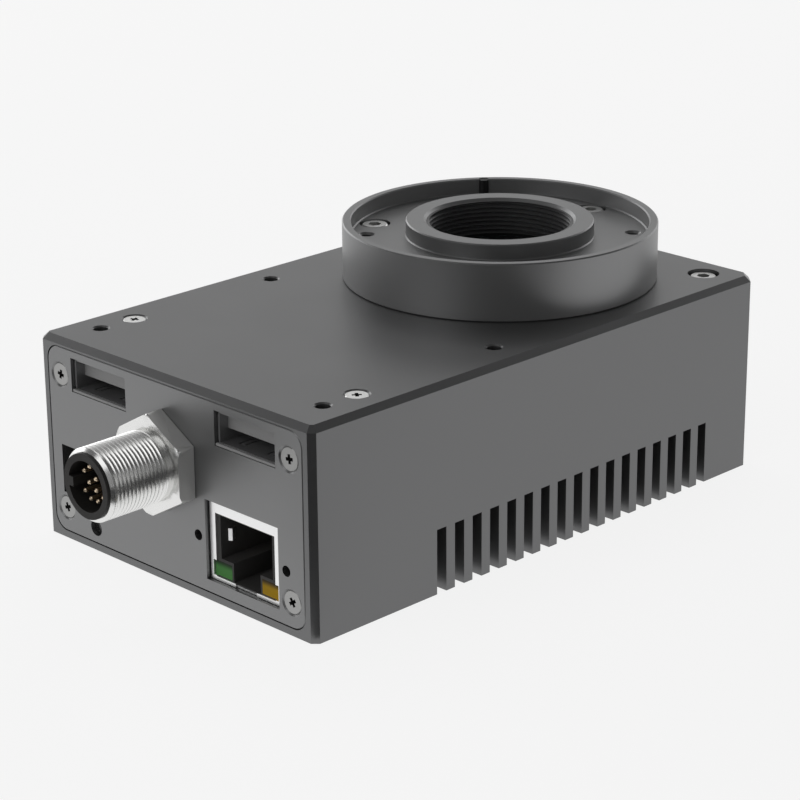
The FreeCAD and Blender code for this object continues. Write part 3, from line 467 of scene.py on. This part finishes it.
# Socket cap screws: turned steel heads with a hexagon socket, sunk in counterbores. Two
# hold the rear of the inner frame and three hold the lens mount.
def socket_screw_mesh(head, shank, head_height, length, flats, socket_depth):
    """One cap screw, the top of its head at height 0."""
    chamfer, mouth_share = 0.00025, 1.12
    shape = bmesh.new()
    corner = flats / math.sqrt(3.0)
    bmesh.ops.create_circle(shape, cap_ends=False, segments=6, radius=corner)
    bmesh.ops.subdivide_edges(shape, edges=shape.edges[:], cuts=5)
    hexagon_edges = shape.edges[:]
    circle = bmesh.ops.create_circle(shape, cap_ends=False, segments=36,
                                     radius=corner * mouth_share)["verts"]
    circle_edges = [edge for edge in shape.edges if edge.verts[0] in circle]
    bmesh.ops.bridge_loops(shape, edges=hexagon_edges + circle_edges)
    walls = bmesh.ops.extrude_edge_only(shape, edges=hexagon_edges)["geom"]
    wall_verts = [item for item in walls if isinstance(item, bmesh.types.BMVert)]
    bmesh.ops.translate(shape, vec=(0, 0, -socket_depth), verts=wall_verts)
    close_ring(shape, [item for item in walls if isinstance(item, bmesh.types.BMEdge)
                       and all(vert in wall_verts for vert in item.verts)])
    ring = grow_ring(shape, circle_edges, head - chamfer, 0.0)
    ring = grow_ring(shape, ring, head, -chamfer)
    ring = grow_ring(shape, ring, head, -head_height)
    ring = grow_ring(shape, ring, shank, -head_height)
    ring = grow_ring(shape, ring, shank, -head_height - length)
    close_ring(shape, ring)
    bmesh.ops.recalc_face_normals(shape, faces=shape.faces)
    mesh = bpy.data.meshes.new("screw_pattern")
    shape.to_mesh(mesh)
    shape.free()
    return mesh


cap_steel = grained("cap_steel", (0.76, 0.76, 0.75), (0.62, 0.62, 0.615),
                    (0.28, 0.38), 1.0, grain=3000.0, cloud=900.0)
rear_screw_x, rear_screw_y, rear_head_z = 0.0255, 0.0467, 0.0346
rear_screw_places = [
    Matrix.Translation((x, rear_screw_y, rear_head_z)) @ Matrix.Rotation(turn, 4, "Z")
    for x, turn in ((-rear_screw_x, 0.2), (rear_screw_x, 0.5))]
rear_screw_mesh = socket_screw_mesh(head=0.00235, shank=0.00125, head_height=0.0025,
                                    length=0.006, flats=0.002, socket_depth=0.0013)
add_piece("rear_cap_screws", repeat_mesh(rear_screw_mesh, rear_screw_places),
          cap_steel, "plated_screw", "frame_screws_rear")
lens_y, mount_screw_circle, mount_head_z = 0.0222, 0.0227, 0.04215
mount_screw_places = []
for degrees in (87.5, 207.5, 327.5):
    x = mount_screw_circle * math.cos(math.radians(degrees))
    y = lens_y + mount_screw_circle * math.sin(math.radians(degrees))
    mount_screw_places.append(Matrix.Translation((x, y, mount_head_z))
                              @ Matrix.Rotation(math.radians(degrees * 0.7), 4, "Z"))
mount_screw_mesh = socket_screw_mesh(head=0.00235, shank=0.00125, head_height=0.0025,
                                     length=0.007, flats=0.002, socket_depth=0.0013)
add_piece("mount_cap_screws", repeat_mesh(mount_screw_mesh, mount_screw_places),
          cap_steel, "plated_screw", "lens_mount_screws")


# Lens mount: one aluminium ring, turned, then anodised dark grey, so very fine tool marks
# run round it. It seats in the body on a rubber ring, and its three cap screws hold it.
def turned_finish(name, light, dark, rough, metallic, pitch, relief):
    """The grained finish with fine rings about the lens axis added to its relief."""
    material = grained(name, light, dark, rough, metallic)
    tree = material.node_tree
    place = tree.nodes.new("ShaderNodeTexCoord")
    mapping = tree.nodes.new("ShaderNodeMapping")
    mapping.inputs["Location"].default_value = (0.0, -lens_y, 0.0)
    rings = tree.nodes.new("ShaderNodeTexWave")
    rings.wave_type = "RINGS"
    rings.rings_direction = "Z"
    rings.inputs["Scale"].default_value = math.pi / 10.0 / pitch  # one ring every pitch
    rings.inputs["Distortion"].default_value = 0.6
    rings.inputs["Detail"].default_value = 1.0
    marks = tree.nodes.new("ShaderNodeBump")
    marks.inputs["Strength"].default_value = 0.4
    marks.inputs["Distance"].default_value = relief
    shader = tree.nodes["Principled BSDF"]
    fine = shader.inputs["Normal"].links[0].from_node
    tree.links.new(place.outputs["Object"], mapping.inputs["Vector"])
    tree.links.new(mapping.outputs["Vector"], rings.inputs["Vector"])
    tree.links.new(rings.outputs["Fac"], marks.inputs["Height"])
    tree.links.new(fine.outputs["Normal"], marks.inputs["Normal"])
    tree.links.new(marks.outputs["Normal"], shader.inputs["Normal"])
    return material


anodised_mount = turned_finish("anodised_mount", (0.25, 0.251, 0.253), (0.232, 0.233, 0.235),
                               (0.38, 0.44), 0.9, pitch=0.00035, relief=0.0000012)
black_steel = grained("black_steel", (0.02, 0.02, 0.021), (0.008, 0.008, 0.009),
                      (0.4, 0.55), 0.6)
anodised_ring = grained("anodised_ring", (0.03, 0.03, 0.031), (0.018, 0.018, 0.019),
                        (0.35, 0.5), 0.7)
dress(anodised_mount, "lens_mount")
dress(black_rubber, "lens_mount_seal")
dress(black_steel, "index_pin")
dress(anodised_ring, "filter_ring")


# Lens thread: 1 inch across with 32 turns to the inch, cut in the nose's bore and left
# black against stray light. It is one helix, squared off at both ends.
def helix_thread(shape, root, crest, pitch, start, end, steps):
    """Sweep one tooth round the local Z axis from height start to height end."""
    flat = pitch / 8.0
    outline = [(root, 0.0), (root, flat), (crest, pitch / 2 - flat / 2),
               (crest, pitch / 2 + flat / 2), (root, pitch)]
    turns = math.ceil((end - start) / pitch) + 1
    verts = [shape.verts.new((radius, 0.0, start - pitch + height))
             for radius, height in outline]
    edges = [shape.edges.new(pair) for pair in zip(verts[:-1], verts[1:])]
    bmesh.ops.spin(shape, geom=verts + edges, cent=(0, 0, 0), axis=(0, 0, 1),
                   dvec=(0, 0, pitch / steps), angle=2 * math.pi * turns, steps=turns * steps,
                   use_merge=False, use_duplicate=False)
    bmesh.ops.remove_doubles(shape, verts=shape.verts, dist=2e-6)
    for vert in shape.verts:
        vert.co.z = min(max(vert.co.z, start), end)
    bmesh.ops.dissolve_degenerate(shape, edges=shape.edges, dist=1e-7)


thread_black = grained("thread_black", (0.11, 0.11, 0.112), (0.08, 0.08, 0.082),
                       (0.34, 0.44), 0.6)
lens_thread_shape = bmesh.new()
helix_thread(lens_thread_shape, root=0.01269, crest=0.01226, pitch=0.0254 / 32,
             start=0.0388, end=0.04455, steps=96)
bmesh.ops.translate(lens_thread_shape, vec=(0.0, lens_y, 0.0), verts=lens_thread_shape.verts)
bmesh.ops.reverse_faces(lens_thread_shape, faces=lens_thread_shape.faces)
add_piece("lens_thread", lens_thread_shape, thread_black, "anodised_mount")


# Filter: a coated glass disc under the thread, which keeps dust off the sensor. The black
# ring above clamps it.
def clear_glass(name, colour, roughness, index):
    """Glass of one colour and refractive index, very slightly uneven in its polish."""
    material = grained(name, colour, tuple(value * 0.97 for value in colour),
                       (roughness, roughness + 0.02), 0.0, grain=1500.0, relief=0.0000003)
    shader = material.node_tree.nodes["Principled BSDF"]
    shader.inputs["Transmission Weight"].default_value = 1.0
    shader.inputs["IOR"].default_value = index
    return material


filter_glass = clear_glass("filter_glass", (0.62, 0.8, 0.82), roughness=0.01, index=1.5)
dress(filter_glass, "filter_glass")


# Round connector: a brass shell with bright nickel plate. Its hexagon pulls up against the
# panel, and the barrel in front carries the thread for a cable's coupling nut.
bright_nickel = grained("bright_nickel", (0.86, 0.86, 0.85), (0.81, 0.81, 0.8),
                        (0.22, 0.27), 1.0, grain=2400.0, cloud=350.0, relief=0.0000003)
axis_x, axis_z = -0.0017, 0.0208
hexagon_back, hexagon_front = -0.053, -0.0563
flat_reach, foot_reach = 0.007, 0.0073
barrel_inside, barrel_crest, barrel_steps = 0.0053, 0.006, 72
barrel_place = (Matrix.Translation((axis_x, 0.0, axis_z))
                @ Matrix.Rotation(math.radians(90.0), 4, "X"))


def turned_ring(shape, outline):
    """Spin a closed outline of radius and height about the local Z axis."""
    verts = [shape.verts.new((radius, 0.0, height)) for radius, height in outline]
    edges = [shape.edges.new((verts[index - 1], verts[index])) for index in range(len(verts))]
    bmesh.ops.spin(shape, geom=verts + edges, cent=(0, 0, 0), axis=(0, 0, 1),
                   angle=2 * math.pi, steps=barrel_steps, use_merge=True, use_duplicate=False)


barrel = bmesh.new()
helix_thread(barrel, root=0.00556, crest=barrel_crest, pitch=0.00075,
             start=0.0571, end=0.0674, steps=barrel_steps)
turned_ring(barrel, [(barrel_inside, 0.056), (0.0058, 0.056), (0.0058, 0.0569),
                     (0.0055, 0.0572), (barrel_inside, 0.0572)])
turned_ring(barrel, [(barrel_inside, 0.0673), (0.0057, 0.0673), (barrel_crest, 0.06745),
                     (barrel_crest, 0.0676), (0.0055, 0.0681), (barrel_inside, 0.0681)])
bmesh.ops.transform(barrel, matrix=barrel_place, verts=barrel.verts)
bmesh.ops.recalc_face_normals(barrel, faces=barrel.faces)

# The hexagon is copied from the CAD shell, which is cut off just in front of it. Its foot
# gets a narrow edge where it meets the panel, and its flats show the coarser mill finish.
hexagon_part = bmesh.new()
hexagon_part.from_mesh(nodes["round_connector_shell"].data)
bmesh.ops.remove_doubles(hexagon_part, verts=hexagon_part.verts, dist=1e-6)
bmesh.ops.bisect_plane(hexagon_part, geom=(hexagon_part.verts[:] + hexagon_part.edges[:]
                                           + hexagon_part.faces[:]),
                       plane_co=(0, hexagon_front - 0.0001, 0), plane_no=(0, -1, 0),
                       clear_outer=True)
hexagon_foot = [edge for edge in hexagon_part.edges
                if all(abs(vert.co.y - hexagon_back) < 1e-6
                       and math.hypot(vert.co.x - axis_x, vert.co.z - axis_z) > foot_reach
                       for vert in edge.verts)]
bmesh.ops.bevel(hexagon_part, geom=hexagon_foot, affect="EDGES", offset=0.00012, segments=1,
                profile=0.5, material=-1)
hexagon_part.normal_update()
for face in hexagon_part.faces:
    middle = face.calc_center_median()
    reach = math.hypot(middle.x - axis_x, middle.z - axis_z)
    if abs(face.normal.y) < 0.1 and reach > flat_reach and middle.y < hexagon_back:
        face.material_index = 1
hexagon_mesh = bpy.data.meshes.new("hexagon_part")
hexagon_part.to_mesh(hexagon_mesh)
hexagon_part.free()
barrel.from_mesh(hexagon_mesh)
bpy.data.meshes.remove(hexagon_mesh)
round_shell = add_piece("round_shell_threaded", barrel, bright_nickel, "bright_nickel",
                        "round_connector_shell")
milled_nickel = grained("milled_nickel", (0.72, 0.72, 0.71), (0.65, 0.65, 0.64),
                        (0.42, 0.5), 0.5, grain=2400.0, cloud=350.0)
round_shell.data.materials.append(milled_nickel)
dress(bright_nickel, "round_connector_nut")
dress(black_rubber, "round_connector_seal")

# Its insert is moulded black plastic, and twelve gold-plated pins stand in the cup.
moulded_black = grained("moulded_black", (0.035, 0.034, 0.033), (0.02, 0.0195, 0.019),
                        (0.45, 0.6), 0.0, grain=3200.0, cloud=300.0, relief=0.000002)
insert_black = grained("insert_black", (0.03, 0.0285, 0.027), (0.021, 0.02, 0.019),
                       (0.5, 0.65), 0.0, grain=3200.0, cloud=300.0, relief=0.000002,
                       specular=0.3)
gold_plate = grained("gold_plate", (0.84, 0.7, 0.52), (0.74, 0.59, 0.42), (0.32, 0.42), 1.0,
                     grain=4000.0, cloud=600.0, relief=0.000002)
dress(insert_black, "round_connector_insert")
dress(gold_plate, "round_connector_pins")


# Network jack: a bent tin-plated can around a moulded body with eight gold-plated springs
# and two lamps, soldered to the upright board.
tin_plate = grained("tin_plate", (0.96, 0.96, 0.96), (0.91, 0.91, 0.91), (0.3, 0.36), 1.0,
                    grain=2600.0, cloud=400.0, relief=0.0000006, stretch=(1.0, 1.0, 4.0))
dress(tin_plate, "jack_shield")
jack_moulding = grained("jack_moulding", (0.075, 0.074, 0.073), (0.058, 0.057, 0.056),
                        (0.55, 0.7), 0.0, grain=3200.0, cloud=300.0, relief=0.000002,
                        specular=0.2)
dress(jack_moulding, "jack_body")
dress(gold_plate, "jack_contacts")


def lamp_lens(name, light, dark):
    """Tinted plastic, clear at the foot, with painted shade that darkens it towards the body
    above it.
    """
    shade_start, shade_end, shade_share = 0.0056, 0.0067, 0.1
    material = grained(name, light, dark, (0.4, 0.5), 0.0, grain=1400.0, cloud=500.0,
                       specular=0.15)
    tree = material.node_tree
    shader = tree.nodes["Principled BSDF"]
    tint = shader.inputs["Base Color"].links[0].from_socket
    place = tree.nodes.new("ShaderNodeTexCoord")
    split = tree.nodes.new("ShaderNodeSeparateXYZ")
    height = tree.nodes.new("ShaderNodeMapRange")
    height.interpolation_type = "SMOOTHSTEP"
    height.inputs["From Min"].default_value = shade_start
    height.inputs["From Max"].default_value = shade_end
    shade = tree.nodes.new("ShaderNodeMix")
    shade.data_type = "RGBA"
    shade.inputs["B"].default_value = (*(value * shade_share for value in dark), 1.0)
    tree.links.new(place.outputs["Object"], split.inputs[0])
    tree.links.new(split.outputs["Z"], height.inputs["Value"])
    tree.links.new(height.outputs["Result"], shade.inputs["Factor"])
    tree.links.new(tint, shade.inputs["A"])
    tree.links.new(shade.outputs["Result"], shader.inputs["Base Color"])
    return material


dress(lamp_lens("green_lens", (0.085, 0.29, 0.07), (0.065, 0.23, 0.055)), "jack_lamp_green")
dress(lamp_lens("amber_lens", (0.5, 0.3, 0.006), (0.41, 0.235, 0.004)), "jack_lamp_amber")

# On each side a tongue of the can is bent in through the body, to press on the plug.
jack_x, opening_half = 0.0162, 0.00595
tongue_bottom, tongue_top = 0.0099, 0.01195
tongue_bends = ((0.05045, 0.0), (0.0501, 0.00055), (0.0499, 0.00058), (0.049, 0.0))
spring_tongues = bmesh.new()
for side in (-1.0, 1.0):
    corners = []
    for depth, reach in tongue_bends:
        for height in (tongue_bottom, tongue_top):
            place = (jack_x + side * (opening_half - reach), -depth, height)
            corners.append(spring_tongues.verts.new(place))
    for step in range(0, 6, 2):
        spring_tongues.faces.new([corners[step], corners[step + 1],
                                  corners[step + 3], corners[step + 2]])
    spring_tongues.faces.new(corners[0::2])
    spring_tongues.faces.new(corners[1::2])
    spring_tongues.faces.new([corners[0], corners[1], corners[7], corners[6]])
bmesh.ops.recalc_face_normals(spring_tongues, faces=spring_tongues.faces)
add_piece("jack_spring_tongues", spring_tongues, tin_plate, "tin_plate")


# Two upper ports: a dark plated sheet sleeve in each, with a grey moulded block that
# leaves a low slot. Both stand on the upright board behind the panel.
dark_steel = grained("dark_steel", (0.3, 0.3, 0.305), (0.25, 0.25, 0.255), (0.34, 0.42), 0.6,
                     grain=2600.0, cloud=400.0)
grey_plastic = grained("grey_plastic", (0.33, 0.33, 0.33), (0.3, 0.3, 0.3), (0.4, 0.5), 0.0,
                       grain=3200.0, cloud=300.0)
dress(dark_steel, "port_shell_left", "port_shell_right")
dress(grey_plastic, "port_block_left", "port_block_right")

# A narrow moulded sill closes each opening below the sleeve, level with the panel.
port_x, sill_y, sill_z = 0.01755, -0.0526, 0.0268
sill_size = (0.01355, 0.00058, 0.00046)
port_sills = bmesh.new()
for middle in (-port_x, port_x):
    sill = bmesh.ops.create_cube(port_sills, size=1.0)["verts"]
    bmesh.ops.scale(port_sills, vec=sill_size, verts=sill)
    bmesh.ops.translate(port_sills, vec=(middle, sill_y, sill_z), verts=sill)
    sill_edges = [edge for edge in port_sills.edges if edge.verts[0] in sill]
    bmesh.ops.bevel(port_sills, geom=sill_edges, affect="EDGES", offset=0.00006, segments=1,
                    profile=0.5, material=-1)
add_piece("port_sills", port_sills, grey_plastic, "grey_plastic")


# Lower port and status lamp: a black moulded socket with four gold-plated pins, and a
# smoked light pipe in front of a small lamp on the board.
smoked_plastic = grained("smoked_plastic", (0.012, 0.012, 0.012), (0.006, 0.006, 0.006),
                         (0.12, 0.2), 0.0)
lamp_chip = grained("lamp_chip", (0.85, 0.8, 0.58), (0.78, 0.72, 0.45), (0.3, 0.4), 0.0)
dress(moulded_black, "aux_socket")
dress(gold_plate, "aux_socket_pins")
dress(smoked_plastic, "status_light_pipe")
dress(lamp_chip, "status_lamp")


# Image sensor: a fired ceramic tray on its board, with the silicon chip in it under a thin
# cover glass. Four plated posts hang the board from the body.
ceramic = grained("sensor_ceramic", (0.74, 0.71, 0.66), (0.66, 0.63, 0.58), (0.5, 0.62), 0.0,
                  grain=3600.0, cloud=500.0)
silicon = grained("sensor_silicon", (0.16, 0.12, 0.2), (0.07, 0.09, 0.14), (0.12, 0.2), 0.6,
                  grain=9000.0, cloud=120.0)
cover_glass = clear_glass("cover_glass", (0.9, 0.93, 0.96), roughness=0.0, index=1.5)
dress(ceramic, "sensor_package")
dress(silicon, "sensor_chip")
dress(cover_glass, "sensor_cover_glass")


# Boards: glass-fibre boards with green solder mask over copper tracks. They stand on
# plated brass posts, and screws hold them there.
def board_finish(name, track_scale):
    """Green mask, lighter along a pattern of straight tracks."""
    material = grained(name, (0.03, 0.2, 0.09), (0.02, 0.14, 0.06), (0.28, 0.4), 0.0,
                       grain=1800.0, cloud=120.0)
    tree = material.node_tree
    shader = tree.nodes["Principled BSDF"]
    mask = shader.inputs["Base Color"].links[0].from_socket
    place = tree.nodes.new("ShaderNodeTexCoord")
    tracks = tree.nodes.new("ShaderNodeTexBrick")
    tracks.inputs["Scale"].default_value = track_scale
    tracks.inputs["Mortar Size"].default_value = 0.03
    tracks.inputs["Color1"].default_value = (0.0, 0.0, 0.0, 1.0)
    tracks.inputs["Color2"].default_value = (0.15, 0.15, 0.15, 1.0)
    tracks.inputs["Mortar"].default_value = (1.0, 1.0, 1.0, 1.0)
    copper = tree.nodes.new("ShaderNodeMix")
    copper.data_type = "RGBA"
    copper.inputs["B"].default_value = (0.06, 0.32, 0.12, 1.0)
    tree.links.new(place.outputs["Object"], tracks.inputs["Vector"])
    tree.links.new(tracks.outputs["Color"], copper.inputs["Factor"])
    tree.links.new(mask, copper.inputs["A"])
    tree.links.new(copper.outputs["Result"], shader.inputs["Base Color"])
    return material


circuit_board = board_finish("circuit_board", track_scale=220.0)
plated_brass = grained("plated_brass", (0.74, 0.72, 0.66), (0.62, 0.6, 0.54), (0.25, 0.38), 1.0)
chip_package = grained("chip_package", (0.04, 0.04, 0.042), (0.022, 0.022, 0.024), (0.45, 0.6),
                       0.0, grain=3600.0, cloud=400.0, relief=0.000008)
thermal_rubber = grained("thermal_rubber", (0.27, 0.42, 0.52), (0.22, 0.36, 0.46), (0.7, 0.85),
                         0.0, grain=1500.0)
bare_aluminium = grained("bare_aluminium", (0.74, 0.74, 0.75), (0.62, 0.62, 0.63), (0.3, 0.45),
                         1.0, grain=900.0, cloud=200.0, stretch=(1.0, 12.0, 1.0))
dress(circuit_board, "sensor_board", "main_board", "upright_board")
dress(plated_brass, "sensor_posts", "board_posts", "panel_posts")
dress(plated_screw, "sensor_board_screws", "main_board_screws", "upright_board_screws")
dress(moulded_black, "sensor_plug", "sensor_receptacle", "board_header", "board_receptacle")
dress(chip_package, "processor", "memory_chips", "power_coils")
dress(thermal_rubber, "thermal_pad")
dress(bare_aluminium, "inner_frame", "heat_spreader")
